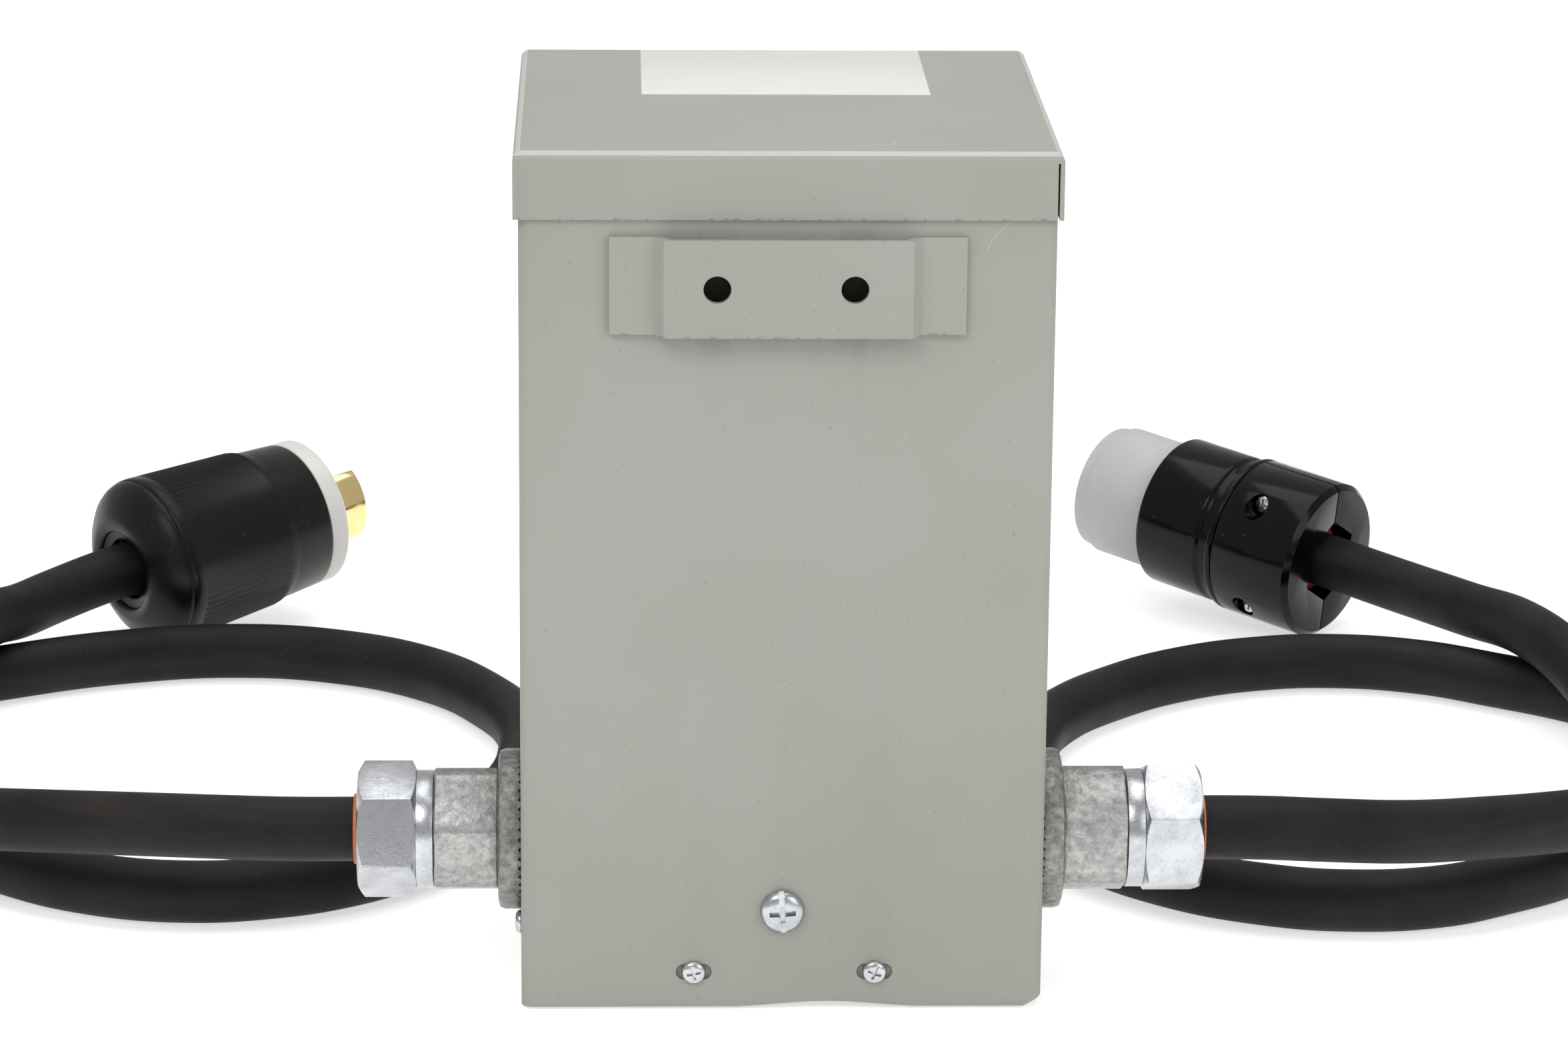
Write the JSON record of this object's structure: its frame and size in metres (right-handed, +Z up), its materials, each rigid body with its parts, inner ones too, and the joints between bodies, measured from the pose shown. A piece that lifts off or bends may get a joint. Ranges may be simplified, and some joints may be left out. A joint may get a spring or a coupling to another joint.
{
  "type": "step-down transformer",
  "caption": "Folded steel case of a small dry step-down transformer, with wall bracket, side cord glands, and short rubber cords to a locking plug and a connector.",
  "frame": {"origin": "centre of the case's foot, on the surface that it stands on", "axes": "+Z up, -Y out of the side that carries the wall bracket, +X to the right seen from that side"},
  "size_m": [0.6007, 0.419, 0.2347],
  "materials": {
    "grey_paint": "satin grey powder coat",
    "zinc": "bright zinc plate",
    "casting": "rough zinc casting",
    "potting": "sand and resin",
    "label": "blank film",
    "orange_rubber": "smooth",
    "black_rubber": "fine matt",
    "black_nylon": "satin, fluted",
    "white_nylon": "smooth",
    "brass": "bright",
    "red_rubber": "smooth",
    "black_gloss": "gloss",
    "grey_nylon": "fine matt"
  },
  "bodies": {
    "root": {"case_wrap": "grey_paint", "front_panel": "grey_paint", "wiring_cover": "grey_paint", "cover_screw_left": "zinc", "cover_screw_right": "zinc", "foot_pan": "grey_paint", "cap": "grey_paint", "potted_core": "potting", "plain_label": "label", "wall_bracket": "grey_paint", "earth_screw": "zinc", "slot_screw_left": "zinc", "slot_screw_right": "zinc", "side_screw": "zinc", "left_toothed_ring": "casting", "left_gland_body": "casting", "left_gland_collar": "casting", "left_gland_nut": "zinc", "left_bush": "orange_rubber", "right_toothed_ring": "casting", "right_gland_body": "casting", "right_gland_collar": "casting", "right_gland_nut": "zinc", "right_bush": "orange_rubber", "left_cord": "black_rubber", "plug_seal": "black_rubber", "plug_shell": "black_nylon", "plug_flange": "white_nylon", "plug_blade_upper": "brass", "plug_blade_near": "brass", "plug_blade_far": "brass", "right_cord": "black_rubber", "cord_seal": "red_rubber", "jaw_near": "black_gloss", "jaw_far": "black_gloss", "jaw_screws": "zinc", "connector_ring": "black_gloss", "connector_shell": "black_gloss", "connector_face": "grey_nylon"}
  },
  "joints": []
}
